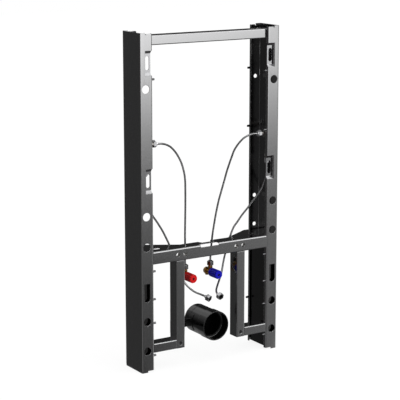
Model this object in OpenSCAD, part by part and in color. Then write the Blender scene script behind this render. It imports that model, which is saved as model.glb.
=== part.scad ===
// Wall hung toilet frame: two folded channel columns, a top bar, a shelf that
// carries the bowl fixings, two short studs, water hoses, angle valves and the
// waste connector. Millimetres. X runs across the frame, Y towards the wall and
// Z up. The origin is on the floor, in the middle of the overall depth.

/* [Frame] */
// Height of the columns
frame_h = 1000; // [900:10:1150]
// Width over the outer faces of the columns
frame_w = 480; // [460:5:520]
// Depth of the columns, from front to wall
frame_d = 100; // [95:1:120]
// Thickness of the folded sheet
sheet = 2; // [1.5:0.5:2.5]

/* [Columns] */
// Width of each column flange
flange_w = 41; // [38:1:46]
// Depth of the return lip on each flange
lip_d = 10; // [8:1:12]
// Outside radius of the folded edges
fold_r = 4; // [3:0.5:4]
// Diameter of the round holes in the front flange
front_hole_d = 24.5; // [20:0.5:26]
// Diameter of the wall fixing holes in the back flange
back_hole_d = 12; // [10:0.5:18]
// Height of the cut away below the inner part of the column
foot_cut_h = 5; // [3:1:10]

/* [Shelf] */
// Height of the top of the shelf above the floor
shelf_top = 363; // [340:1:380]
// Height of the front face of the shelf
shelf_face_h = 38; // [36:1:44]
// Depth of the shelf in the middle of the frame
shelf_mid_d = 42; // [40:1:50]
// Spacing of the inner bowl fixing holes
fix_inner = 180; // [180:1:180]
// Spacing of the outer bowl fixing holes
fix_outer = 230; // [230:1:230]
// Diameter of the bowl fixing holes
fix_hole_d = 13; // [12:0.5:14]

/* [Studs and bars] */
// Width of each stud
stud_w = 29; // [28:1:32]
// Depth of the studs and the bars
tube_d = 40; // [36:1:42]
// Distance of each stud's middle from the middle of the frame
stud_x = 107; // [100:1:112]
// Height of the underside of the bottom bars
low_bar_z = 57; // [50:1:70]
// Height of the bars' own section
bar_h = 28; // [26:1:32]

/* [Waste connector] */
// Outside diameter of the mouth
pipe_d = 90; // [80:1:96]
// Height of the pipe's axis above the floor
pipe_z = 115; // [110:1:130]
// Distance that the mouth stands out in front of the columns
pipe_out = 26; // [20:1:40]
// Length of the connector
pipe_len = 110; // [100:1:120]

/* [Water] */
// Distance of each angle valve from the middle of the frame
valve_x = 45; // [40:1:55]
// Height of the valve's axis above the floor
valve_z = 254.5; // [240:0.5:260]
// Diameter of the valve handles
handle_d = 27; // [24:1:28]
// Diameter of the braided hoses
hose_d = 6; // [6:0.5:8]

/* [Hidden] */
$fn = 48;

coat = [0.33, 0.34, 0.35];
dark_coat = [0.16, 0.16, 0.17];
zinc = [0.72, 0.73, 0.75];
brass = [0.72, 0.55, 0.26];
black = [0.06, 0.06, 0.07];

// The front faces of the columns are at front_y, the wall at front_y + frame_d
front_y = -(frame_d - pipe_out) / 2;
half_w = frame_w / 2;
inner_x = half_w - flange_w;
web_x = half_w - sheet;
shelf_low = shelf_top - shelf_face_h;

// Round holes in the front flange and wall fixing holes in the back flange
hole_x = 18.5;
front_hole_z = [65.5, 155.5, 379, 470, 840];
back_hole_z = [65.5, 379, 470, 840];
// Relief cuts where the folds end: the inner part of both flanges stops short
relief_x = 20;
top_step_h = 3;
slit_w = 2;
slit_h = 6;
// Keyhole slots in the front flange: square at the top and round below
key_w = 20;
key_low = 215;
key_high = 270;
// Windows in the front flange that hold the slotted panel brackets
win_x = 16;
win_low = [538, 878];
win_h = 71;

// Panel brackets: a plate set back behind the window between two sloped folds
bracket_back = 10;
bracket_lap = 14;
bracket_slope = 7;
bracket_gap = 0.2;
bracket_in_r = 2.5;
bracket_out_r = 3.5;
panel_slot_x = 13;
panel_slot_w = 12;
panel_slot_h = 40;

// Pins pressed into the return lips
front_pin_z = [48.5, 147.5, 219.5, 304, 689, 867];
back_pin_z = [147.5, 689, 867];
pin_d = 6.5;
pin_head_d = 7.5;
pin_head_h = 2;
pin_len = 8.5;

// Stiffening channel inside the foot of each column
stiff_x = 36;
stiff_front = 10.5;
stiff_back = 89.5;
stiff_top = 318;
stiff_low = 8;

// Rear outline of the shelf, from the middle outwards
recess_w = 30;
recess_top_w = 44;
recess_y = 27;
arm_x0 = 85;
arm_x1 = 183;
tongue_clear = 0.5;
shelf_lip = 12;
shelf_end = 1.5;
notch_w = 63;
notch_x = -4.5;
notch_h = 7;
notch_d = 14;
// Weld nuts behind the bowl fixing holes
weld_nut_af = 21;
weld_nut_h = 12;
// Oval holes in the top of the shelf
shelf_slot_x = 169;
shelf_slot_y = 35;
shelf_slot_w = 14;
shelf_slot_len = 25;

tube_r = 3;
top_bar_gap = 9;
stud_hole_d = 11.5;
stud_hole_z = 72;

// Waste connector
pipe_wall = 3;
socket_len = 36;
socket_depth = 30;
barrel_d = pipe_d - 4;
bore_r = barrel_d / 2 - pipe_wall;
mark_depth = 84;
mark_w = 2;
mark_r = barrel_d / 2 - 0.6;
seal_depth = 6;
seal_lip = 4;
plug_depth = 26;
plug_wall = 2.5;
rib_w = 3;
rib_h = 8;
// Clip that holds the connector: foot on the stud, arm and saddle
clip_foot_h = 40;
clip_arm_h = 24;
clip_gap = 1;
saddle_half = 35;
saddle_y = 52;
saddle_w = 16;
saddle_front = 12;

// Angle valves
valve_back = frame_d;
outlet_y = 76;
handle_back = 66;
handle_len = 38.5;
valve_d = 18;
valve_outlet_d = 14;
valve_hex_af = 24;
valve_hex_h = 7;
spigot_d = 21;
spigot_len = 7;
spigot_bore_d = 12;
spigot_bore_len = 15;
valve_nut_z = 276;
valve_nut_h = 14;
flute_step = 30;
flute_d = 4;
flute_out = 0.6;
flute_from = 5;
handle_rim = 1.5;
handle_rim_h = 2;
screw_d = 7;
screw_depth = 4;
nut_af = 19;
nut_bore_d = 15;
collar_d = nut_af - 6;
collar_h = 3;

// Outlets of the inner hoses, at the open side of each column
out_y = 20;
out_z = 677;
out_nut_x = 176;
out_nut_len = 12;
out_d = 14;
out_body_d = 20;
out_body_len = 14;
out_body_drop = 4;
out_flange_d = 24;
out_flange_h = 3;
// Outlets of the outer hoses, inside each column
feed_x = 214;
feed_y = 22;
feed_z = 585;
feed_nut_h = 13;
feed_d = 14;
feed_len = 16;
feed_arm_d = 12;
feed_arm_z = 10;
feed_flange_d = 22;
// Loose union nut and ferrule on the free end of an outer hose
ferrule_d = 9;
ferrule_h = 6;
union_rim_z = 5;
union_z = 7;
union_len = 11;
union_wall_z = 9;

// Hose routes, as distances from the middle, behind the front face and above the floor
hot_route = [[-176, 20, 677], [-161, 22, 676], [-146, 26, 673], [-133, 29, 668],
             [-120, 33, 661], [-107, 37, 650], [-95, 42, 638], [-83, 47, 623],
             [-72, 52, 606], [-63, 57, 588], [-56, 61, 569], [-51, 65, 548],
             [-48, 69, 524], [-46, 72, 496], [-45, 74, 462], [-45, 75, 424],
             [-45, 76, 386], [-45, 76, 348], [-45, 76, 314], [-45, 76, 290]];
cold_route = [[176, 20, 677], [164, 22, 677], [153, 26, 674], [143, 29, 670],
              [134, 32, 664], [126, 36, 655], [118, 41, 643], [110, 46, 627],
              [104, 50, 607], [98, 54, 586], [92, 58, 563], [85, 61, 535],
              [77, 64, 505], [69, 67, 474], [62, 70, 438], [56, 72, 402],
              [51, 74, 366], [48, 75, 335], [46, 76, 310], [45, 76, 290]];
left_feed_route = [[-214, 22, 585], [-214, 22, 568], [-213, 23, 548], [-209, 26, 526],
                   [-202, 30, 505], [-192, 34, 483], [-180, 38, 463], [-166, 43, 446],
                   [-151, 48, 427], [-136, 54, 407], [-121, 60, 384], [-108, 64, 361],
                   [-99, 65, 336], [-91, 63, 312], [-83, 59, 288], [-76, 54, 265],
                   [-67, 46, 244], [-55, 38, 227], [-41, 27, 214], [-29, 14, 208],
                   [-21, 1, 204]];
right_feed_route = [[214, 22, 585], [214, 22, 568], [213, 23, 546], [209, 27, 524],
                    [202, 31, 504], [190, 38, 482], [177, 45, 463], [161, 51, 441],
                    [147, 57, 422], [134, 61, 403], [122, 65, 385], [112, 68, 359],
                    [102, 67, 337], [94, 63, 318], [86, 60, 299], [78, 56, 277],
                    [69, 50, 254], [55, 40, 236], [41, 29, 223], [29, 17, 214],
                    [22, 5, 209], [20, -4, 206]];
left_end_dir = [0.39, -0.87, -0.31];
right_end_dir = [0.05, -0.95, -0.31];

function unit(v) = v / norm(v);
function tangent(pts, i) =
    unit(pts[min(i + 1, len(pts) - 1)] - pts[max(i - 1, 0)]);
function ring(c, t, ref, r, sides) =
    let (u = unit(cross(t, ref)), v = cross(t, u))
    [for (k = [0 : sides - 1]) c + r * (cos(360 * k / sides) * u + sin(360 * k / sides) * v)];

// The arc of radius r that rounds the corner at b, on the way from a to c
function corner(a, b, c, r, steps = 4) =
    let (u = unit(a - b), v = unit(c - b), half = acos(u * v) / 2, m = unit(u + v),
         o = b + m * r / sin(half), w = unit(b + u * r / tan(half) - o),
         turn = sign(cross(u, v)) * (180 - 2 * half))
    [for (i = [0 : steps])
        let (t = turn * i / steps) o + r * [w[0] * cos(t) + w[1] * sin(t), w[1] * cos(t) - w[0] * sin(t)]];

// A round tube swept along a list of points
module sweep(pts, d, ref, sides = 8) {
    n = len(pts);
    rings = [for (i = [0 : n - 1]) each ring(pts[i], tangent(pts, i), ref, d / 2, sides)];
    walls = [for (i = [0 : n - 2], k = [0 : sides - 1])
        let (k2 = (k + 1) % sides)
        [i * sides + k, i * sides + k2, (i + 1) * sides + k2, (i + 1) * sides + k]];
    low = [for (k = [sides - 1 : -1 : 0]) k];
    high = [for (k = [0 : sides - 1]) (n - 1) * sides + k];
    polyhedron(rings, concat([low], walls, [high]), convexity = 6);
}

// A child drawn along +Z, turned so that +Z follows dir
module along(at, dir) {
    d = unit(dir);
    translate(at) rotate([0, acos(d[2]), atan2(d[1], d[0])]) children();
}

// Everything is drawn from the front face and moved to the part's own origin
module placed() {
    translate([0, front_y, 0]) children();
}

// Draws the right hand piece as it is, and the left hand one mirrored
module side(s) {
    placed() mirror([s < 0 ? 1 : 0, 0, 0]) children();
}

module round_rect(x, y, w, h, r) {
    translate([x + r, y]) square([w - 2 * r, h]);
    translate([x, y + r]) square([w, h - 2 * r]);
    for (cx = [x + r, x + w - r], cy = [y + r, y + h - r]) translate([cx, cy]) circle(r);
}

module hex(af, h) {
    cylinder(d = af / cos(30), h = h, $fn = 6);
}

// Section of a column, seen from above, open towards the middle of the frame
module column_section() {
    difference() {
        round_rect(inner_x, 0, flange_w, frame_d, fold_r);
        round_rect(inner_x + sheet, sheet, flange_w - 2 * sheet, frame_d - 2 * sheet, fold_r - sheet);
        translate([inner_x - 1, lip_d]) square([sheet + 2, frame_d - 2 * lip_d]);
    }
}

module keyhole() {
    r = key_w / 2;
    translate([-r, -1, key_low + r]) cube([key_w, sheet + 2, key_high - key_low - r]);
    translate([0, -1, key_low + r]) rotate([-90, 0, 0]) cylinder(r = r, h = sheet + 2);
}

module column() {
    x = half_w - hole_x;
    difference() {
        linear_extrude(frame_h) column_section();
        for (z = front_hole_z)
            translate([x, -1, z]) rotate([-90, 0, 0]) cylinder(d = front_hole_d, h = sheet + 2);
        for (z = back_hole_z)
            translate([x, frame_d - sheet - 1, z]) rotate([-90, 0, 0])
                cylinder(d = back_hole_d, h = sheet + 2);
        translate([x, 0, 0]) keyhole();
        for (z = win_low)
            translate([inner_x - 1, -1, z]) cube([flange_w - win_x + 1, lip_d + 2, win_h]);
        for (z = [foot_cut_h - frame_h, frame_h - top_step_h])
            translate([inner_x - 1, -1, z]) cube([flange_w - relief_x + 1, frame_d + 2, frame_h]);
        translate([inner_x - 1, frame_d - fold_r, -1]) cube([flange_w + 2, fold_r + 1, foot_cut_h + 1]);
        for (y = [-1, frame_d - sheet - 1])
            translate([half_w - relief_x - 1, y, frame_h - slit_h]) cube([slit_w + 1, sheet + 2, slit_h + 1]);
    }
}

// A rectangular tube along X, from x0 to x1
module bar_x(x0, x1, y, z, d, h) {
    translate([x0, 0, 0]) rotate([90, 0, 90]) linear_extrude(x1 - x0) difference() {
        round_rect(y, z, d, h, tube_r);
        round_rect(y + sheet, z + sheet, d - 2 * sheet, h - 2 * sheet, tube_r - sheet);
    }
}

module top_bar() {
    color(coat) placed()
        bar_x(-web_x, web_x, lip_d, frame_h - top_bar_gap - bar_h, tube_d, bar_h);
}

// Shelf plate, seen from above: shallow in the middle, with arms back to the wall
module shelf_outline() {
    half = [[recess_w / 2, recess_y], [recess_top_w / 2, shelf_mid_d], [arm_x0, shelf_mid_d],
            [arm_x1, frame_d], [inner_x, frame_d], [inner_x, frame_d - lip_d - tongue_clear],
            [web_x, frame_d - lip_d - tongue_clear], [web_x, lip_d + tongue_clear],
            [inner_x, lip_d + tongue_clear], [inner_x, fold_r]];
    other = [for (i = [len(half) - 1 : -1 : 0]) [-half[i][0], half[i][1]]];
    polygon(concat(half, other));
}

// A hole with round ends, its long side along X
module long_hole(w, len, h) {
    run = len - w;
    for (x = [-run / 2, run / 2]) translate([x, 0, 0]) cylinder(d = w, h = h);
    translate([-run / 2, -w / 2, 0]) cube([run, w, h]);
}

// Front of the shelf from the side: top, face and lower lip folded from one sheet
module shelf_section() {
    difference() {
        round_rect(0, shelf_low, 2 * shelf_lip, shelf_face_h, fold_r);
        round_rect(sheet, shelf_low + sheet, 2 * shelf_lip, shelf_face_h - 2 * sheet, fold_r - sheet);
        translate([shelf_lip, shelf_low - 1]) square([shelf_lip + 1, shelf_face_h + 2]);
    }
}

module mid_member() {
    color(coat) placed() difference() {
        union() {
            translate([0, 0, shelf_top - sheet]) linear_extrude(sheet) shelf_outline();
            translate([-inner_x, 0, 0]) rotate([90, 0, 90]) linear_extrude(2 * inner_x) shelf_section();
            translate([-inner_x - shelf_end, 0, shelf_low + fold_r])
                cube([2 * (inner_x + shelf_end), sheet, shelf_face_h - 2 * fold_r]);
        }
        for (s = [-1, 1])
            translate([s * (inner_x + fold_r), fold_r, shelf_low]) cylinder(r = fold_r, h = shelf_face_h);
        for (x = [fix_inner / 2, fix_outer / 2], s = [-1, 1])
            translate([s * x, -1, shelf_top - shelf_face_h / 2]) rotate([-90, 0, 0])
                cylinder(d = fix_hole_d, h = sheet + 2);
        translate([notch_x - notch_w / 2, -1, shelf_top - notch_h])
            cube([notch_w, notch_d + 1, notch_h + 1]);
        for (s = [-1, 1])
            translate([s * shelf_slot_x, shelf_slot_y, shelf_top - sheet - 1])
                long_hole(shelf_slot_w, shelf_slot_len, sheet + 2);
    }
}

// Hexagon weld nuts behind the four bowl fixing holes, flats side by side
module bowl_fixing_nuts() {
    color(zinc) placed()
        for (x = [fix_inner / 2, fix_outer / 2], s = [-1, 1])
            translate([s * x, sheet, shelf_top - shelf_face_h / 2]) rotate([-90, 0, 0]) difference() {
                rotate(30) hex(weld_nut_af, weld_nut_h);
                translate([0, 0, -1]) cylinder(d = fix_hole_d, h = weld_nut_h + 2);
            }
}

module stud() {
    difference() {
        translate([0, 0, low_bar_z]) linear_extrude(shelf_low - low_bar_z) difference() {
            round_rect(stud_x - stud_w / 2, 0, stud_w, tube_d, tube_r);
            round_rect(stud_x - stud_w / 2 + sheet, sheet, stud_w - 2 * sheet, tube_d - 2 * sheet,
                       tube_r - sheet);
        }
        translate([stud_x, -1, stud_hole_z]) rotate([-90, 0, 0])
            cylinder(d = stud_hole_d, h = tube_d + 2);
    }
}

module bottom_bar() {
    bar_x(stud_x + stud_w / 2, inner_x, 0, low_bar_z, tube_d, bar_h);
}

module leg_stiffener() {
    w = stiff_x - sheet;
    translate([half_w - stiff_x, stiff_front, stiff_low]) difference() {
        cube([w, stiff_back - stiff_front, stiff_top - stiff_low]);
        translate([sheet, sheet, -1])
            cube([w, stiff_back - stiff_front - 2 * sheet, stiff_top - stiff_low + 2]);
    }
}

// Side view of a panel bracket: lap, slope, set back plate, slope and lap, with rounded folds
module bracket_section(z) {
    top = z + win_h;
    face = bracket_back - sheet;
    front = [[sheet, top + bracket_lap], [sheet, top], [face, top - bracket_slope],
             [face, z + bracket_slope], [sheet, z], [sheet, z - bracket_lap]];
    back = [[2 * sheet, z - bracket_lap], [2 * sheet, z - 1], [bracket_back, z + bracket_slope - 1],
            [bracket_back, top - bracket_slope + 1], [2 * sheet, top + 1], [2 * sheet, top + bracket_lap]];
    front_r = [bracket_out_r, bracket_in_r, bracket_in_r, bracket_out_r];
    back_r = [bracket_out_r - sheet, bracket_in_r + sheet, bracket_in_r + sheet, bracket_out_r - sheet];
    polygon(concat([front[0]],
                   [for (i = [1 : 4]) each corner(front[i - 1], front[i], front[i + 1], front_r[i - 1])],
                   [front[5], back[0]],
                   [for (i = [1 : 4]) each corner(back[i - 1], back[i], back[i + 1], back_r[i - 1])],
                   [back[5]]));
}

// Panel bracket: a joggled plate behind the window, with one upright slot and a side wall
module panel_bracket(z) {
    top = z + win_h;
    x = inner_x + sheet + bracket_gap;
    slot_z = z + win_h / 2;
    fold_relief = [fold_r - sheet + 1, lip_d + 1, 2 * bracket_lap];
    difference() {
        union() {
            translate([x, 0, 0]) rotate([90, 0, 90]) linear_extrude(half_w - win_x - x) bracket_section(z);
            translate([half_w - win_x - sheet, 0, 0]) rotate([90, 0, 90]) linear_extrude(sheet)
                polygon([[sheet, z - sheet], [bracket_back - sheet / 2, z + bracket_slope - sheet / 2],
                         [bracket_back - sheet / 2, top - bracket_slope + sheet / 2], [sheet, top + sheet]]);
        }
        for (cut_z = [top, z - 2 * bracket_lap])
            translate([x - 1, 0, cut_z]) cube(fold_relief);
        translate([inner_x + panel_slot_x, 0, slot_z]) rotate([-90, 90, 0])
            long_hole(panel_slot_w, panel_slot_h, lip_d + 4);
    }
}

module pins(y, heights) {
    for (z = heights)
        translate([inner_x, y, z]) rotate([0, -90, 0]) {
            cylinder(d = pin_d, h = pin_len, $fn = 24);
            cylinder(d = pin_head_d, h = pin_head_h, $fn = 24);
        }
}

// Draws its children around the connector's axis, with +Z running from the mouth to the wall
module on_pipe() {
    placed() translate([0, -pipe_out, pipe_z]) rotate([-90, 0, 0]) children();
}

// Waste connector: socket mouth, a slightly narrower barrel and a groove that marks the depth to insert
module waste_pipe() {
    color(black) on_pipe() difference() {
        union() {
            cylinder(d = pipe_d, h = socket_len, $fn = 96);
            cylinder(d = barrel_d, h = pipe_len, $fn = 96);
        }
        translate([0, 0, mark_depth]) difference() {
            cylinder(d = barrel_d + 2, h = mark_w, $fn = 96);
            translate([0, 0, -1]) cylinder(r = mark_r, h = mark_w + 2, $fn = 96);
        }
        translate([0, 0, -1]) cylinder(r = bore_r, h = pipe_len + 2, $fn = 96);
        translate([0, 0, -1]) cylinder(d = pipe_d - 2 * pipe_wall, h = socket_depth + 1, $fn = 96);
    }
}

// Lip seal just behind the socket
module pipe_seal() {
    lip_r = bore_r - seal_lip;
    color(dark_coat) on_pipe() translate([0, 0, socket_depth]) rotate_extrude($fn = 96)
        polygon([[bore_r, 0], [bore_r, seal_depth], [bore_r - 1, seal_depth],
                 [lip_r, seal_depth / 2], [lip_r, seal_depth / 3], [bore_r - 1, 0]]);
}

// Protection plug that closes the far end of the connector
module pipe_plug() {
    color(black) on_pipe() translate([0, 0, pipe_len - plug_depth]) {
        difference() {
            cylinder(r = bore_r, h = plug_depth, $fn = 96);
            translate([0, 0, plug_wall]) cylinder(r = bore_r - plug_wall, h = plug_depth, $fn = 96);
        }
        for (a = [0, 60, 120]) rotate(a)
            translate([rib_h - bore_r, -rib_w / 2, -rib_h]) cube([2 * (bore_r - rib_h), rib_w, rib_h]);
    }
}

// Clip that holds the connector to the back of the left stud
module pipe_bracket() {
    r = barrel_d / 2;
    arm_x = -stud_x + stud_w / 2 - sheet;
    plate_y = saddle_y - saddle_w + saddle_front;
    color(dark_coat) placed() {
        translate([arm_x + 2 * sheet - stud_w, tube_d, pipe_z - clip_foot_h / 2])
            cube([stud_w - sheet, sheet, clip_foot_h]);
        translate([arm_x, tube_d, pipe_z - clip_arm_h / 2])
            cube([sheet, plate_y - tube_d + sheet, clip_arm_h]);
        translate([arm_x, plate_y, pipe_z - clip_arm_h / 2])
            cube([-arm_x - r - clip_gap, sheet, clip_arm_h]);
        translate([0, saddle_y - saddle_front, pipe_z]) rotate([-90, 0, 0]) rotate(180 - saddle_half)
            rotate_extrude(angle = 2 * saddle_half, $fn = 96)
                translate([r, 0]) square([sheet, saddle_w]);
    }
}

// Angle valve in brass: wall spigot, flange, body and upright outlet
module valve_body() {
    translate([valve_x, 0, valve_z]) difference() {
        union() {
            translate([0, handle_back, 0]) rotate([-90, 0, 0])
                cylinder(d = valve_d, h = valve_back - handle_back);
            translate([0, valve_back - spigot_len - valve_hex_h, 0]) rotate([-90, 0, 0])
                hex(valve_hex_af, valve_hex_h);
            translate([0, valve_back - spigot_len, 0]) rotate([-90, 0, 0])
                cylinder(d = spigot_d, h = spigot_len);
            translate([0, outlet_y, 0]) cylinder(d = valve_outlet_d, h = valve_nut_z - valve_z);
        }
        translate([0, valve_back - spigot_bore_len, 0]) rotate([-90, 0, 0])
            cylinder(d = spigot_bore_d, h = spigot_bore_len + 1);
    }
}

// Handle: a fluted barrel in front of the body, with a screw recess in its end
module valve_handle() {
    translate([valve_x, handle_back, valve_z]) rotate([90, 0, 0]) difference() {
        union() {
            cylinder(d = handle_d, h = handle_len - handle_rim_h);
            cylinder(d = handle_d - 2 * handle_rim, h = handle_len);
        }
        for (a = [0 : flute_step : 360 - flute_step])
            rotate(a) translate([handle_d / 2 + flute_out, 0, flute_from])
                cylinder(d = flute_d, h = handle_len, $fn = 24);
        translate([0, 0, handle_len - screw_depth]) cylinder(d = screw_d, h = screw_depth + 1, $fn = 24);
    }
}

// Nut on the valve's outlet, which holds the end of the hose
module valve_nut() {
    translate([valve_x, outlet_y, valve_nut_z]) {
        hex(nut_af, valve_nut_h - collar_h);
        cylinder(d = collar_d, h = valve_nut_h);
    }
}

// Outlet of an inner hose: brass body carried by the column's web
module outlet() {
    len = web_x - out_nut_x - out_nut_len;
    translate([out_nut_x + out_nut_len, out_y, out_z]) rotate([0, 90, 0]) {
        cylinder(d = out_d, h = len);
        translate([out_body_drop, 0, (len - out_body_len) / 3]) cylinder(d = out_body_d, h = out_body_len);
        translate([0, 0, len - out_flange_h]) cylinder(d = out_flange_d, h = out_flange_h);
    }
}

module outlet_nut() {
    translate([out_nut_x, out_y, out_z]) rotate([0, 90, 0]) {
        cylinder(d = collar_d, h = out_nut_len);
        translate([0, 0, collar_h]) hex(nut_af - 2, out_nut_len - collar_h);
    }
}

// Outlet of an outer hose: an elbow on the column's web, hose end downwards
module feed_outlet() {
    translate([feed_x, feed_y, feed_z + feed_nut_h]) {
        cylinder(d = feed_d, h = feed_len);
        translate([0, 0, feed_arm_z]) rotate([0, 90, 0]) cylinder(d = feed_arm_d, h = web_x - feed_x);
        translate([web_x - feed_x - out_flange_h, 0, feed_arm_z]) rotate([0, 90, 0])
            cylinder(d = feed_flange_d, h = out_flange_h);
    }
}

module feed_nut() {
    translate([feed_x, feed_y, feed_z]) {
        cylinder(d = collar_d, h = collar_h);
        translate([0, 0, collar_h]) hex(nut_af - 2, feed_nut_h - collar_h);
    }
}

// Loose union nut and ferrule on the free end of an outer hose
module hose_nut(route, dir) {
    end = route[len(route) - 1];
    color(zinc) placed() along(end, dir) difference() {
        union() {
            cylinder(d = ferrule_d, h = ferrule_h);
            translate([0, 0, union_rim_z]) cylinder(d = nut_bore_d, h = collar_h);
            translate([0, 0, union_z]) hex(nut_af, union_len);
        }
        translate([0, 0, union_wall_z]) cylinder(d = nut_bore_d, h = union_len);
    }
}

module left_column() { color(coat) side(-1) column(); }
module right_column() { color(coat) side(1) column(); }
module left_stud() { color(coat) side(-1) stud(); }
module right_stud() { color(coat) side(1) stud(); }
module left_bottom_bar() { color(coat) side(-1) bottom_bar(); }
module right_bottom_bar() { color(coat) side(1) bottom_bar(); }
module left_leg_stiffener() { color(dark_coat) side(-1) leg_stiffener(); }
module right_leg_stiffener() { color(dark_coat) side(1) leg_stiffener(); }
module left_upper_bracket() { color(zinc) side(-1) panel_bracket(win_low[1]); }
module left_lower_bracket() { color(zinc) side(-1) panel_bracket(win_low[0]); }
module right_upper_bracket() { color(zinc) side(1) panel_bracket(win_low[1]); }
module right_lower_bracket() { color(zinc) side(1) panel_bracket(win_low[0]); }
module left_front_pins() { color(zinc) side(-1) pins(lip_d / 2 + 1, front_pin_z); }
module right_front_pins() { color(zinc) side(1) pins(lip_d / 2 + 1, front_pin_z); }
module left_back_pins() { color(zinc) side(-1) pins(frame_d - lip_d / 2 - 1, back_pin_z); }
module right_back_pins() { color(zinc) side(1) pins(frame_d - lip_d / 2 - 1, back_pin_z); }
module hot_valve_body() { color(brass) side(-1) valve_body(); }
module cold_valve_body() { color(brass) side(1) valve_body(); }
module hot_valve_handle() { color("red") side(-1) valve_handle(); }
module cold_valve_handle() { color("blue") side(1) valve_handle(); }
module hot_valve_nut() { color(zinc) side(-1) valve_nut(); }
module cold_valve_nut() { color(zinc) side(1) valve_nut(); }
module hot_outlet() { color(brass) side(-1) outlet(); }
module cold_outlet() { color(brass) side(1) outlet(); }
module hot_outlet_nut() { color(zinc) side(-1) outlet_nut(); }
module cold_outlet_nut() { color(zinc) side(1) outlet_nut(); }
module left_feed_outlet() { color(brass) side(-1) feed_outlet(); }
module right_feed_outlet() { color(brass) side(1) feed_outlet(); }
module left_feed_nut() { color(zinc) side(-1) feed_nut(); }
module right_feed_nut() { color(zinc) side(1) feed_nut(); }
module hot_hose() { color(zinc) placed() sweep(hot_route, hose_d, [0, 1, 0]); }
module cold_hose() { color(zinc) placed() sweep(cold_route, hose_d, [0, 1, 0]); }
module left_feed_hose() { color(zinc) placed() sweep(left_feed_route, hose_d, [1, 0, 1]); }
module right_feed_hose() { color(zinc) placed() sweep(right_feed_route, hose_d, [-1, 0, 1]); }
module left_hose_nut() { hose_nut(left_feed_route, left_end_dir); }
module right_hose_nut() { hose_nut(right_feed_route, right_end_dir); }

left_column();
right_column();
top_bar();
mid_member();
bowl_fixing_nuts();
left_stud();
right_stud();
left_bottom_bar();
right_bottom_bar();
left_leg_stiffener();
right_leg_stiffener();
left_upper_bracket();
left_lower_bracket();
right_upper_bracket();
right_lower_bracket();
left_front_pins();
left_back_pins();
right_front_pins();
right_back_pins();
waste_pipe();
pipe_seal();
pipe_plug();
pipe_bracket();
hot_valve_body();
hot_valve_handle();
hot_valve_nut();
cold_valve_body();
cold_valve_handle();
cold_valve_nut();
hot_outlet();
hot_outlet_nut();
cold_outlet();
cold_outlet_nut();
left_feed_outlet();
left_feed_nut();
right_feed_outlet();
right_feed_nut();
hot_hose();
cold_hose();
left_feed_hose();
right_feed_hose();
left_hose_nut();
right_hose_nut();
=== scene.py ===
"""Looks of a wall hung toilet frame: coated steel, braided hoses, angle valves and a waste connector."""

import math

import bpy
import numpy as np
from mathutils import Matrix, Vector


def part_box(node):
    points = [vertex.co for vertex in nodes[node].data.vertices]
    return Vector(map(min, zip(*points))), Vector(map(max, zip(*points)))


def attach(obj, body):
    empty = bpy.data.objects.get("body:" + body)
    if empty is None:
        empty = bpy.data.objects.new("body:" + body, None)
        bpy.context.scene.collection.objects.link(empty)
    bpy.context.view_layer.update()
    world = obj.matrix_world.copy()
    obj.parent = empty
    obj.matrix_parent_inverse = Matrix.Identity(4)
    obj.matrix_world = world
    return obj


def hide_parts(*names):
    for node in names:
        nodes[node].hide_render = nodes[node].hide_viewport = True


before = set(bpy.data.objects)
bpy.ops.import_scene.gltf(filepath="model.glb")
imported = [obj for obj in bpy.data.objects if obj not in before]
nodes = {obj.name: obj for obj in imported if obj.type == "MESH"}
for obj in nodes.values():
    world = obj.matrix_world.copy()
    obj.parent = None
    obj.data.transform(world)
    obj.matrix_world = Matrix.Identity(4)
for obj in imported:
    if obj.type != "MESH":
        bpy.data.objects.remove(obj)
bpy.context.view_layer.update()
scene = bpy.context.scene
scene.view_settings.view_transform = "Standard"

MM = 0.001
# The front faces of the columns, from which the hose routes are measured
FRONT_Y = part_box("left_column")[0].y

# Camera: the photograph's viewing angle, in metres and degrees, its lens and sensor in millimetres
CAMERA_AT = (-2.2866, -3.5954, 1.3837)
CAMERA_YAW = 32.267
CAMERA_DOWN = 11.854
CAMERA_LENS = 131.5
CAMERA_SENSOR = 36
CAMERA_REACH = 100

# Lamp above and in front of the frame, in metres and watts
LAMP_AT = (-0.3, -0.9, 2.7)
LAMP_SIZE = (2.4, 1.6)
LAMP_TILT = 18
LAMP_POWER = 14

# Floor: half its side in metres, its tones and its grain
FLOOR_REACH = 12
FLOOR_TONES = (0.86, 0.9)
FLOOR_GRAIN = {"Scale": 14.0, "Detail": 3.0}
# How much of the floor's own shade and shadows shows in the white floor that the camera sees
FLOOR_SHADE = 0.12

# World: an even base, a soft ceiling between two heights of the sky, and patches. TOP_STRENGTH only
# scales the colour ramps, whose colours stay below 1.
WORLD_BASE = 0.045
CEILING = 0.5
CEILING_FROM = 0.55
CEILING_FULL = 0.9
TOP_STRENGTH = 10
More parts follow.
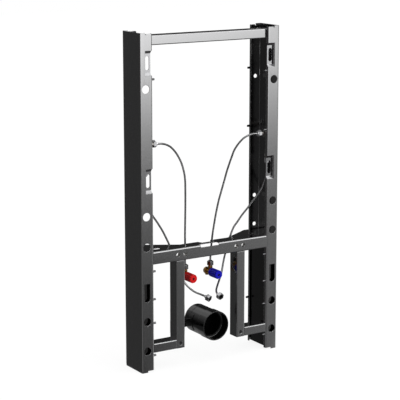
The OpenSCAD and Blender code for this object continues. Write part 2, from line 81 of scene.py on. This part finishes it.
# Each patch has an azimuth (0 in front, 90 on the right), the angle from it inside which it is full, the
# angle past which it is gone, and (elevation, strength) stops. All angles are in degrees.
SIDE_STOPS = [(-90, 0.1), (-40, 0.2), (-20, 1.0), (30, 1.0), (60, 0.5), (90, 0.8)]
PATCHES = [
    # The front faces mirror this one, from 18 degrees down at their feet to 5 degrees down at their tops
    (10, 8, 40, [(-90, 0.3), (-60, 1.5), (-42, 1.5), (-28, 0.05), (-18, 0.05), (-15, 0.09), (-13, 0.21),
                 (-11.5, 0.42), (-10, 0.78), (-8.5, 1.66), (-7, 3.0), (-5, 4.3), (-3, 4.3), (-0.5, 2.0),
                 (8, 1.5), (20, 1.0), (50, 0.6), (90, 0.8)]),
    # Lifts the lower faces on the right, which mirror a heading further to the right
    (70, 5, 44, [(-90, 0), (-30, 0.3), (-22, 1.2), (-14, 1.2), (-10, 0.2), (0, 0), (90, 0)]),
    # The light lines along the upper folds
    (35, 26, 42, [(-90, 0), (4, 0), (10, 4.2), (32, 4.2), (40, 0), (90, 0)]),
    # The slopes below the brackets and the lower rims of the holes
    (76, 16, 36, [(-90, 0), (40, 0), (48, 2.5), (64, 2.5), (74, 0), (90, 0)]),
    # The camera's own side, which the inside of the right column mirrors twice
    (-38, 20, 46, [(-90, 0.2), (-60, 0.6), (-30, 0.6), (-22, 0.5), (-14, 0.3), (-9, 0.14), (-3, 0.14),
                   (8, 0.8), (40, 0.9), (90, 0.8)]),
    # The right side, the left side and behind, for the faces that turn there
    (104, 12, 34, SIDE_STOPS),
    (-104, 12, 34, [(-90, 0.2), (-60, 0.6), (-34, 0.6), (-24, 0.08), (-3, 0.1), (8, 0.8), (40, 0.9),
                    (90, 0.8)]),
    (180, 8, 24, SIDE_STOPS),
    # The columns' left webs mirror this dark one
    (-150, 8, 20, [(-90, 0.1), (-20, 0.05), (6, 0.05), (30, 0.5), (60, 0.3), (90, 0.8)]),
]

# Finishes: the range of the noise that varies them, its detail, and the fine bump
NOISE_LOW = 0.3
NOISE_HIGH = 0.7
NOISE_DETAIL = 4.0
BUMP_SCALE = 1400.0
BUMP_DETAIL = 2.0
BUMP_DISTANCE = 0.0004

# Edges: the angle from which one is sharp, and how near the corners of two faces are joined, in metres
SHARP_ANGLE = math.radians(35)
JOIN_DISTANCE = 2e-6

# Hose routes: from the middle, behind the front face and above the floor, in millimetres
HOT_ROUTE = [(-176, 20, 677), (-161, 22, 676), (-146, 26, 673), (-133, 29, 668),
             (-120, 33, 661), (-107, 37, 650), (-95, 42, 638), (-83, 47, 623),
             (-72, 52, 606), (-63, 57, 588), (-56, 61, 569), (-51, 65, 548),
             (-48, 69, 524), (-46, 72, 496), (-45, 74, 462), (-45, 75, 424),
             (-45, 76, 386), (-45, 76, 348), (-45, 76, 314), (-45, 76, 290)]
COLD_ROUTE = [(176, 20, 677), (164, 22, 677), (153, 26, 674), (143, 29, 670),
              (134, 32, 664), (126, 36, 655), (118, 41, 643), (110, 46, 627),
              (104, 50, 607), (98, 54, 586), (92, 58, 563), (85, 61, 535),
              (77, 64, 505), (69, 67, 474), (62, 70, 438), (56, 72, 402),
              (51, 74, 366), (48, 75, 335), (46, 76, 310), (45, 76, 290)]
LEFT_FEED_ROUTE = [(-214, 22, 585), (-214, 22, 568), (-213, 23, 548), (-209, 26, 526),
                   (-202, 30, 505), (-192, 34, 483), (-180, 38, 463), (-166, 43, 446),
                   (-151, 48, 427), (-136, 54, 407), (-121, 60, 384), (-108, 64, 361),
                   (-99, 65, 336), (-91, 63, 312), (-83, 59, 288), (-76, 54, 265),
                   (-67, 46, 244), (-55, 38, 227), (-41, 27, 214), (-29, 14, 208),
                   (-21, 1, 204)]
RIGHT_FEED_ROUTE = [(214, 22, 585), (214, 22, 568), (213, 23, 546), (209, 27, 524),
                    (202, 31, 504), (190, 38, 482), (177, 45, 463), (161, 51, 441),
                    (147, 57, 422), (134, 61, 403), (122, 65, 385), (112, 68, 359),
                    (102, 67, 337), (94, 63, 318), (86, 60, 299), (78, 56, 277),
                    (69, 50, 254), (55, 40, 236), (41, 29, 223), (29, 17, 214),
                    (22, 5, 209), (20, -4, 206)]
# The directions in which the loose nuts face
LEFT_END = (0.39, -0.87, -0.31)
RIGHT_END = (0.05, -0.95, -0.31)

# Braid: STRANDS strands each way, which go round once in LEAD and stand BRAID_DEPTH above their gaps
HOSE_D = 6 * MM
LEAD = 27 * MM
STRANDS = 8
BRAID_DEPTH = 0.36 * MM
BRAID_STEP = 0.7 * MM
BRAID_SIDES = 48
# The height of a strand: its middle level, how far it swings over and under, and how full its section is
WEAVE_LEVEL = 0.6
WEAVE_SWING = 0.4
WEAVE_FULLNESS = 0.5
# Painted shade in the braid: it is black up to the first height and has its full colour from the second
GAP_BLACK = 0.5
GAP_CLEAR = 0.95
CURVE_STEPS = 24
# Any direction that no hose starts in
ASIDE = (0.3, 0.9, 0.2)

# How far the screws lie inside the handles, and the washers in front of the ends of their hoses
SCREW_DEPTH = 4 * MM
GASKET_AT = 9 * MM
# Turned profiles: radius and height in millimetres
SCREW_PROFILE = [(3.3, 0), (3.3, 2.2), (2.9, 2.7), (1.8, 2.8), (1.7, 1.0)]
GASKET_PROFILE = [(7.3, 0), (7.3, 2.4), (2.6, 2.4), (2.4, 0.8)]


# Node helpers

def add_node(tree, kind, inputs=None, **settings):
    """A shader node with its settings and input values; an input given as a socket is linked."""
    node = tree.nodes.new("ShaderNode" + kind)
    for key, value in settings.items():
        setattr(node, key, value)
    for key, value in (inputs or {}).items():
        if isinstance(value, bpy.types.NodeSocket):
            tree.links.new(value, node.inputs[key])
        else:
            node.inputs[key].default_value = value
    return node


def math_node(tree, operation, a, b):
    return add_node(tree, "Math", {0: a, 1: b}, operation=operation).outputs[0]


def smooth_step(tree, value, low, high):
    """0 where value is at low, 1 where it is at high, with a smooth change between them."""
    inputs = {"Value": value, "From Min": low, "From Max": high}
    return add_node(tree, "MapRange", inputs, interpolation_type="SMOOTHSTEP").outputs["Result"]


def close_tree(tree, kind, camera_shader, other_shader):
    """Gives the camera one shader and all other rays another, as the tree's output."""
    camera_ray = add_node(tree, "LightPath").outputs["Is Camera Ray"]
    mixed = add_node(tree, "MixShader", {0: camera_ray, 1: other_shader.outputs[0],
                                         2: camera_shader.outputs[0]})
    tree.links.new(mixed.outputs[0], add_node(tree, kind).inputs["Surface"])


# Camera, world, lamp and floor

def make_camera():
    data = bpy.data.cameras.new("camera")
    data.sensor_width = CAMERA_SENSOR
    data.lens = CAMERA_LENS
    data.clip_end = CAMERA_REACH
    camera = bpy.data.objects.new("camera", data)
    camera.location = CAMERA_AT
    camera.rotation_euler = (math.radians(90 - CAMERA_DOWN), 0, -math.radians(CAMERA_YAW))
    scene.collection.objects.link(camera)
    scene.camera = camera


def by_elevation(tree, height, stops):
    """Strength by the height of a direction, from (elevation, strength) pairs that start at -90."""
    share = add_node(tree, "MapRange", {"Value": height, "From Min": -1.0, "From Max": 1.0})
    node = add_node(tree, "ValToRGB", {"Fac": share.outputs["Result"]})
    elements = node.color_ramp.elements
    elements.remove(elements[1])
    for elevation, strength in stops:
        place = (math.sin(math.radians(elevation)) + 1) / 2
        element = elements[0] if elevation == -90 else elements.new(place)
        element.color = (*[strength / TOP_STRENGTH] * 3, 1)
    return math_node(tree, "MULTIPLY", node.outputs["Color"], TOP_STRENGTH)


def patch(tree, height, heading, azimuth, inner, outer, stops):
    """The light of one of PATCHES, from the height and the level heading of a direction."""
    a = math.radians(azimuth)
    toward = add_node(tree, "VectorMath", {0: heading, 1: (math.sin(a), -math.cos(a), 0)},
                      operation="DOT_PRODUCT").outputs["Value"]
    side = smooth_step(tree, toward, math.cos(math.radians(outer)), math.cos(math.radians(inner)))
    return math_node(tree, "MULTIPLY", side, by_elevation(tree, height, stops))


def make_world():
    world = bpy.data.worlds.new("studio")
    world.use_nodes = True
    scene.world = world
    tree = world.node_tree
    tree.nodes.clear()
    way = add_node(tree, "TexCoord").outputs["Generated"]
    height = add_node(tree, "SeparateXYZ", {0: way}).outputs["Z"]
    flat = add_node(tree, "VectorMath", {0: way, 1: (1, 1, 0)}, operation="MULTIPLY").outputs[0]
    heading = add_node(tree, "VectorMath", {0: flat}, operation="NORMALIZE").outputs[0]
    total = math_node(tree, "MULTIPLY", smooth_step(tree, height, CEILING_FROM, CEILING_FULL), CEILING)
    total = math_node(tree, "ADD", total, WORLD_BASE)
    for azimuth, inner, outer, stops in PATCHES:
        total = math_node(tree, "ADD", total, patch(tree, height, heading, azimuth, inner, outer, stops))
    light = add_node(tree, "Background", {"Color": (1, 1, 1, 1), "Strength": total})
    white = add_node(tree, "Background", {"Color": (1, 1, 1, 1), "Strength": 1.0})
    close_tree(tree, "OutputWorld", white, light)


def make_lamp():
    data = bpy.data.lights.new("overhead", "AREA")
    data.shape = "RECTANGLE"
    data.size, data.size_y = LAMP_SIZE
    data.energy = LAMP_POWER
    lamp = bpy.data.objects.new("overhead", data)
    lamp.location = LAMP_AT
    lamp.rotation_euler = (math.radians(LAMP_TILT), 0, 0)
    scene.collection.objects.link(lamp)


def make_floor():
    """A pale floor that the camera sees as white, with a little shade. The object doesn't mirror it."""
    mesh = bpy.data.meshes.new("floor")
    r = FLOOR_REACH
    mesh.from_pydata([(-r, -r, 0), (r, -r, 0), (r, r, 0), (-r, r, 0)], [], [(0, 1, 2, 3)])
    floor = bpy.data.objects.new("floor", mesh)
    scene.collection.objects.link(floor)
    material = bpy.data.materials.new("pale_floor")
    material.use_nodes = True
    tree = material.node_tree
    tree.nodes.clear()
    grain = add_node(tree, "TexNoise", FLOOR_GRAIN).outputs["Fac"]
    low, high = FLOOR_TONES
    tone = add_node(tree, "MapRange", {"Value": grain, "To Min": low, "To Max": high}).outputs[0]
    shade = add_node(tree, "BsdfDiffuse", {"Color": tone})
    white = add_node(tree, "Emission", {"Strength": 1.0})
    seen = add_node(tree, "MixShader", {0: FLOOR_SHADE, 1: white.outputs[0], 2: shade.outputs[0]})
    close_tree(tree, "OutputMaterial", seen, shade)
    mesh.materials.append(material)
    floor.visible_glossy = False
    floor.visible_diffuse = False


# Materials

def new_material(name, color, metallic, rough, spread=0.04, tone=0.06, scale=260.0, bump=0.02, **extra):
    """A procedural finish: colour and roughness vary a little, and a fine bump breaks up the gloss."""
    material = bpy.data.materials.new(name)
    material.use_nodes = True
    tree = material.node_tree
    shader = tree.nodes["Principled BSDF"]
    place = add_node(tree, "TexCoord").outputs["Object"]
    noise = add_node(tree, "TexNoise", {"Vector": place, "Scale": scale, "Detail": NOISE_DETAIL})
    cloud = noise.outputs["Fac"]
    ramp = add_node(tree, "ValToRGB", {"Fac": cloud})
    darker, lighter = ramp.color_ramp.elements
    darker.position = NOISE_LOW
    darker.color = (*[c * (1 - tone) for c in color], 1)
    lighter.position = NOISE_HIGH
    lighter.color = (*[c * (1 + tone) for c in color], 1)
    tree.links.new(ramp.outputs["Color"], shader.inputs["Base Color"])
    gloss = add_node(tree, "MapRange", {"Value": cloud, "From Min": NOISE_LOW, "From Max": NOISE_HIGH,
                                        "To Min": rough - spread, "To Max": rough + spread})
    tree.links.new(gloss.outputs[0], shader.inputs["Roughness"])
    shader.inputs["Metallic"].default_value = metallic
    for key, value in extra.items():
        shader.inputs[key.replace("_", " ")].default_value = value
    fine = add_node(tree, "TexNoise", {"Vector": place, "Scale": BUMP_SCALE, "Detail": BUMP_DETAIL})
    relief = add_node(tree, "Bump", {"Height": fine.outputs["Fac"], "Strength": bump,
                                     "Distance": BUMP_DISTANCE})
    tree.links.new(relief.outputs["Normal"], shader.inputs["Normal"])
    return material


def paint_gap_shade(material, attribute, low, high):
    """Paints shade: fades the colour to black where a value kept on the mesh is low, where the black inner
    hose shows between the strands of a braid and where strands pass under others.
    """
    tree = material.node_tree
    shader = tree.nodes["Principled BSDF"]
    color = shader.inputs["Base Color"].links[0].from_socket
    value = add_node(tree, "Attribute", attribute_name=attribute).outputs["Fac"]
    share = smooth_step(tree, value, low, high)
    shaded = add_node(tree, "VectorMath", {0: color, 1: share}, operation="MULTIPLY").outputs[0]
    tree.links.new(shaded, shader.inputs["Base Color"])


COAT = new_material("graphite_coat", (0.22, 0.22, 0.222), 1.0, 0.13, spread=0.012, tone=0.015, bump=0.006)
# Painted shade: a darker copy of the graphite coat for the parts that lie in shade inside the frame
SHADED_COAT = new_material("coat_with_painted_shade", (0.07, 0.07, 0.07), 1.0, 0.13, spread=0.012, tone=0.05, bump=0.006)
BRACKET = new_material("bracket_steel", (0.22, 0.22, 0.224), 1.0, 0.14, spread=0.02, tone=0.03, scale=420.0)
WELD = new_material("weld_nut_steel", (0.5, 0.49, 0.47), 1.0, 0.25, tone=0.1)
PIN = new_material("pin_steel", (0.1, 0.1, 0.102), 1.0, 0.22, tone=0.1)
# Painted shade: a darker copy of the pin steel for the pins on the back flanges, which lie in shade inside
# the columns
SHADED_PIN = new_material("pin_steel_with_painted_shade", (0.03, 0.03, 0.031), 1.0, 0.22, tone=0.1)
PIPE = new_material("black_pipe", (0.002, 0.002, 0.002), 0.0, 0.05, spread=0.015, tone=0.2, bump=0.004)
PLUG = new_material("black_plug", (0.001, 0.001, 0.001), 0.0, 0.4, tone=0.2, Specular_IOR_Level=0.06)
RUBBER = new_material("seal_rubber", (0.0012, 0.0012, 0.0012), 0.0, 0.5, tone=0.2, Specular_IOR_Level=0.06)
BRASS = new_material("turned_brass", (0.27, 0.155, 0.045), 1.0, 0.2, tone=0.14, scale=600.0)
CHROME = new_material("nut_chrome", (0.5, 0.5, 0.51), 1.0, 0.13, spread=0.03, tone=0.05)
VALVE_NUT = new_material("valve_nut_steel", (0.2, 0.2, 0.204), 1.0, 0.15, spread=0.03, tone=0.05)
OUTLET = new_material("outlet_chrome", (0.2, 0.19, 0.18), 1.0, 0.2, spread=0.03, tone=0.08)
BRAID = new_material("wire_braid", (0.42, 0.42, 0.426), 1.0, 0.22, tone=0.12, scale=900.0,
                     Specular_Tint=(0.25, 0.25, 0.25, 1))
# Painted shade in the low parts of the braid, between and under the strands
paint_gap_shade(BRAID, "strand", GAP_BLACK, GAP_CLEAR)
# Near-black screw steel, whose dark also paints the shade in the recess of each handle
SCREW = new_material("screw_steel_with_painted_shade", (0.02, 0.02, 0.02), 1.0, 0.3, tone=0.1)
RED = new_material("red_handle", (0.4, 0.004, 0.005), 0.0, 0.45, tone=0.06, bump=0.03,
                   Specular_IOR_Level=0.1)
BLUE = new_material("blue_handle", (0.004, 0.003, 0.28), 0.0, 0.45, tone=0.06, bump=0.03,
                    Specular_IOR_Level=0.1)


# Finish of the CAD nodes

def make_smoother():
    """A modifier group that joins the faces of a solid at their corners and shades them smoothly."""
    group = bpy.data.node_groups.new("joined_faces", "GeometryNodeTree")
    group.is_modifier = True
    group.interface.new_socket("Geometry", in_out="INPUT", socket_type="NodeSocketGeometry")
    group.interface.new_socket("Geometry", in_out="OUTPUT", socket_type="NodeSocketGeometry")
    before = group.nodes.new("NodeGroupInput")
    merge = group.nodes.new("GeometryNodeMergeByDistance")
    merge.inputs["Distance"].default_value = JOIN_DISTANCE
    smooth = group.nodes.new("GeometryNodeSetShadeSmooth")
    after = group.nodes.new("NodeGroupOutput")
    group.links.new(before.outputs[0], merge.inputs["Geometry"])
    group.links.new(merge.outputs["Geometry"], smooth.inputs["Geometry"])
    group.links.new(smooth.outputs["Geometry"], after.inputs[0])
    return group


SMOOTHER = make_smoother()


def finish_node(name, material, edge=0.6, segments=2):
    """Gives a CAD node its finish and rounded edges, edge in millimetres, which catch the light."""
    node = nodes[name]
    node.data.materials.clear()
    node.data.materials.append(material)
    node.modifiers.new("joined", "NODES").node_group = SMOOTHER
    bevel = node.modifiers.new("edge", "BEVEL")
    bevel.width = edge * MM
    bevel.segments = segments
    bevel.limit_method = "ANGLE"
    bevel.angle_limit = SHARP_ANGLE
    # With loop slide on, one corner of a column leaves its face by a millimetre
    bevel.loop_slide = False
    flat = node.modifiers.new("flat_faces", "WEIGHTED_NORMAL")
    flat.weight = 100
    flat.keep_sharp = False


# Pieces added to the CAD nodes

def add_mesh(name, verts, faces, material):
    mesh = bpy.data.meshes.new(name)
    mesh.from_pydata([tuple(v) for v in verts], [], [tuple(int(i) for i in f) for f in faces])
    mesh.materials.append(material)
    mesh.validate()
    mesh.update()
    for face in mesh.polygons:
        face.use_smooth = True
    piece = bpy.data.objects.new(name, mesh)
    scene.collection.objects.link(piece)
    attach(piece, "root")
    return piece


def closed_rings(rings, sides):
    """Faces of a closed solid: quads between successive rings of vertices, and a face at each end."""
    faces = []
    for i in range(rings - 1):
        for k in range(sides):
            n = (k + 1) % sides
            faces.append((i * sides + k, i * sides + n, (i + 1) * sides + n, (i + 1) * sides + k))
    faces.append(tuple(reversed(range(sides))))
    faces.append(tuple((rings - 1) * sides + k for k in range(sides)))
    return faces


def turned(name, profile, at, direction, material, sides):
    """A turned piece from (radius, height) pairs in millimetres, its height measured along direction."""
    verts = []
    for radius, height in profile:
        for k in range(sides):
            a = 2 * math.pi * k / sides
            verts.append((radius * MM * math.cos(a), radius * MM * math.sin(a), height * MM))
    turn = Vector(direction).to_track_quat("Z", "Y").to_matrix().to_4x4()
    place = Matrix.Translation(Vector(at)) @ turn
    piece = add_mesh(name, [place @ Vector(v) for v in verts], closed_rings(len(profile), sides), material)
    piece.data.set_sharp_from_angle(angle=SHARP_ANGLE)
    return piece


def handle_screw(side):
    """A socket screw in the recess at the front end of a handle. Its near-black colour also paints the shade
    in the recess.
    """
    low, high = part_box(f"{side}_valve_handle")
    at = ((low.x + high.x) / 2, low.y + SCREW_DEPTH, (low.z + high.z) / 2)
    turned(f"{side}_handle_screw", SCREW_PROFILE, at, (0, -1, 0), SCREW, sides=24)


def nut_gasket(side, route, direction):
    """The black washer inside a loose union nut, on the end of its hose."""
    x, y, z = route[-1]
    at = Vector((x * MM, y * MM + FRONT_Y, z * MM)) + Vector(direction).normalized() * GASKET_AT
    return turned(f"{side}_nut_gasket", GASKET_PROFILE, at, direction, RUBBER, sides=48)


def smooth_path(route, step):
    """Points in metres along a smooth curve through a route, a step apart, and the curve's length."""
    pts = np.array([(x * MM, y * MM + FRONT_Y, z * MM) for x, y, z in route])
    pts = np.vstack([2 * pts[0] - pts[1], pts, 2 * pts[-1] - pts[-2]])
    dense = []
    t = np.linspace(0, 1, CURVE_STEPS, endpoint=False)[:, None]
    for a, b, c, d in zip(pts[:-3], pts[1:-2], pts[2:-1], pts[3:]):
        dense.append(0.5 * (2 * b + (c - a) * t + (2 * a - 5 * b + 4 * c - d) * t ** 2
                            + (3 * b - a - 3 * c + d) * t ** 3))
    dense = np.vstack(dense + [pts[-2:-1]])
    run = np.concatenate([[0], np.cumsum(np.linalg.norm(np.diff(dense, axis=0), axis=1))])
    count = max(2, round(run[-1] / step) + 1)
    at = np.linspace(0, run[-1], count)
    return np.stack([np.interp(at, run, dense[:, i]) for i in range(3)], axis=1), run[-1]


def untwisted_sides(path):
    """Two directions across a path at each of its points, which don't twist about it."""
    tangents = np.gradient(path, axis=0)
    tangents /= np.linalg.norm(tangents, axis=1)[:, None]
    side = np.cross(tangents[0], ASIDE)
    normals = []
    for t in tangents:
        side = side - t * (side @ t)
        side /= np.linalg.norm(side)
        normals.append(side)
    normals = np.array(normals)
    return normals, np.cross(tangents, normals)


def weave(angle, along):
    """Height of a braid from 0 to 1: two sets of strands that pass over and under each other."""
    u = STRANDS * (angle / (2 * np.pi) + along / LEAD)
    v = STRANDS * (angle / (2 * np.pi) - along / LEAD)
    su, sv = np.sin(np.pi * u), np.sin(np.pi * v)
    first = np.abs(su) ** WEAVE_FULLNESS * (WEAVE_LEVEL + WEAVE_SWING * np.sign(su) * sv)
    second = np.abs(sv) ** WEAVE_FULLNESS * (WEAVE_LEVEL - WEAVE_SWING * np.sign(sv) * su)
    return np.maximum(first, second)


def braided_hose(name, route, with_pieces):
    """A hose with a woven wire skin, which stands for its plain node."""
    path, length = smooth_path(route, BRAID_STEP)
    normals, across = untwisted_sides(path)
    angle = 2 * np.pi * np.arange(BRAID_SIDES) / BRAID_SIDES
    strand = weave(angle, np.linspace(0, length, len(path))[:, None])
    radius = HOSE_D / 2 - BRAID_DEPTH * (1 - strand)
    verts = (path[:, None] + radius[..., None] * (np.cos(angle)[None, :, None] * normals[:, None]
                                                  + np.sin(angle)[None, :, None] * across[:, None]))
    piece = add_mesh(name + "_braid", verts.reshape(-1, 3), closed_rings(len(path), BRAID_SIDES), BRAID)
    piece.data.attributes.new("strand", "FLOAT", "POINT").data.foreach_set("value", strand.ravel())
    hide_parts(name)


make_camera()
make_world()
make_lamp()
make_floor()

for name in ("left_column", "right_column", "top_bar", "mid_member", "left_stud", "right_stud",
             "left_bottom_bar", "right_bottom_bar"):
    finish_node(name, COAT, edge=0.9, segments=3)
finish_node("bowl_fixing_nuts", WELD, edge=0.5)
# These parts get the darker coat, which paints the shade in which they lie
for name in ("left_leg_stiffener", "right_leg_stiffener", "pipe_bracket"):
    finish_node(name, SHADED_COAT)
for side in ("left", "right"):
    finish_node(f"{side}_upper_bracket", BRACKET, edge=0.8)
    finish_node(f"{side}_lower_bracket", BRACKET, edge=0.8)
    finish_node(f"{side}_front_pins", PIN, edge=0.5)
    # The back pins get the darker copy of the pin steel, which paints their shade
    finish_node(f"{side}_back_pins", SHADED_PIN, edge=0.5)
    finish_node(f"{side}_feed_outlet", OUTLET, edge=0.5)
    finish_node(f"{side}_feed_nut", CHROME, edge=0.5)
    finish_node(f"{side}_hose_nut", CHROME, edge=0.5)
for side, handle in (("hot", RED), ("cold", BLUE)):
    finish_node(f"{side}_valve_body", BRASS)
    finish_node(f"{side}_valve_nut", VALVE_NUT)
    finish_node(f"{side}_valve_handle", handle, edge=0.5)
    finish_node(f"{side}_outlet", OUTLET)
    finish_node(f"{side}_outlet_nut", CHROME)
    handle_screw(side)
finish_node("waste_pipe", PIPE, edge=0.8, segments=3)
finish_node("pipe_plug", PLUG, edge=0.5)
finish_node("pipe_seal", RUBBER, edge=0.3)

braided_hose("hot_hose", HOT_ROUTE, [])
braided_hose("cold_hose", COLD_ROUTE, [])
braided_hose("left_feed_hose", LEFT_FEED_ROUTE,
             ["left_hose_nut", nut_gasket("left", LEFT_FEED_ROUTE, LEFT_END)])
braided_hose("right_feed_hose", RIGHT_FEED_ROUTE,
             ["right_hose_nut", nut_gasket("right", RIGHT_FEED_ROUTE, RIGHT_END)])
